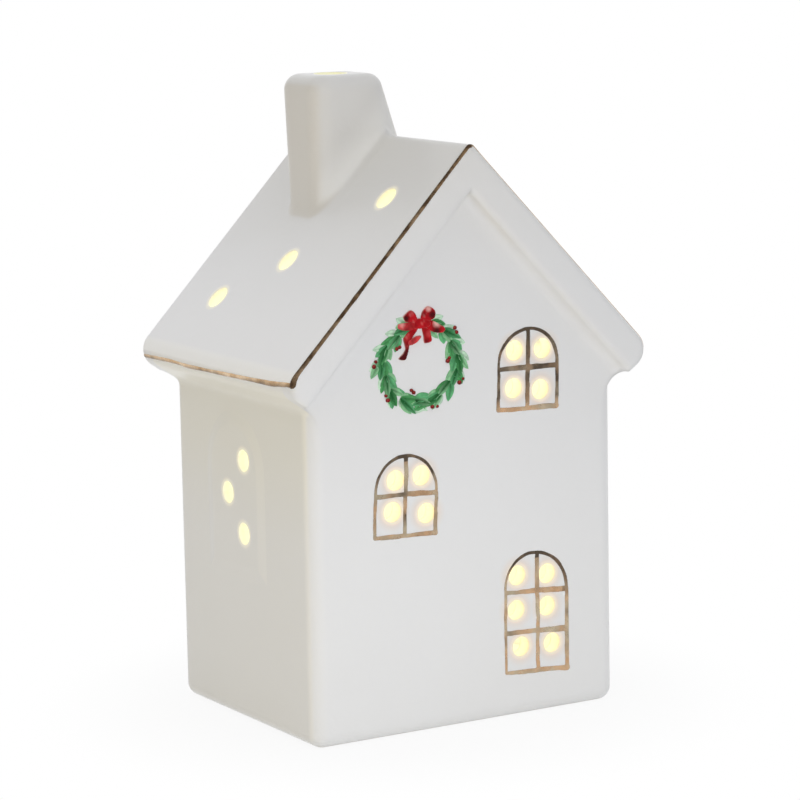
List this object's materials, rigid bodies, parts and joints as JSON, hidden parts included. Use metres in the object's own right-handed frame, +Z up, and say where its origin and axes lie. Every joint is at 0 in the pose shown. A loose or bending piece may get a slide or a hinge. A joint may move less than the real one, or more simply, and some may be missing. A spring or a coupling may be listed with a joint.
{
  "type": "lighted ceramic house ornament",
  "caption": "Small hollow white porcelain house with steep roof, chimney, gold-lined arched windows, a painted wreath and punched light holes, lit by a pull-out battery light unit.",
  "frame": {"origin": "centre of the base, on the surface the house stands on", "axes": "+Z up, +X to the right as seen from the front, the painted gable faces -Y"},
  "size_m": [0.082, 0.0636, 0.1286],
  "materials": {
    "porcelain": "gloss",
    "gold_lustre": "polished",
    "wreath_green": "gloss",
    "wreath_red": "gloss",
    "unit_plastic": "satin",
    "clear_silicone": "satin",
    "screw_steel": "satin",
    "cell_steel": "satin",
    "contact_nickel": "satin",
    "board_green": "satin",
    "lamp_epoxy": "gloss",
    "resistor_black": "satin",
    "switch_can": "satin",
    "lead_red": "satin",
    "switch_black": "matte"
  },
  "bodies": {
    "house": {"ceramic_house": "porcelain", "gold_roof_edging": "gold_lustre", "gold_window_upper": "gold_lustre", "gold_window_middle": "gold_lustre", "gold_window_lower": "gold_lustre", "wreath_leaves": "wreath_green", "wreath_bow": "wreath_red", "wreath_berries": "wreath_red"},
    "light_unit": {"unit_base_plate": "unit_plastic", "unit_shell": "unit_plastic", "retaining_ring": "clear_silicone", "case_screws": "screw_steel", "battery_cells": "cell_steel", "positive_contact": "contact_nickel", "negative_contact": "contact_nickel", "circuit_board": "board_green", "leds": "lamp_epoxy", "resistor": "resistor_black", "switch_body": "switch_can", "switch_leads": "lead_red"},
    "switch": {"switch_slider": "switch_black"},
    "battery_door": {"battery_door": "unit_plastic", "door_screws": "screw_steel"}
  },
  "joints": [
    {"name": "light_unit_pull", "type": "slide", "parent": "house", "child": "light_unit", "axis": [0, 0, -1], "range_m": [0, 0.06]},
    {"name": "switch_slide", "type": "slide", "parent": "light_unit", "child": "switch", "axis": [1, 0, 0], "range_m": [-0.002, 0]},
    {"name": "battery_door_lift", "type": "slide", "parent": "light_unit", "child": "battery_door", "axis": [0, 0, -1], "range_m": [0, 0.02]}
  ]
}
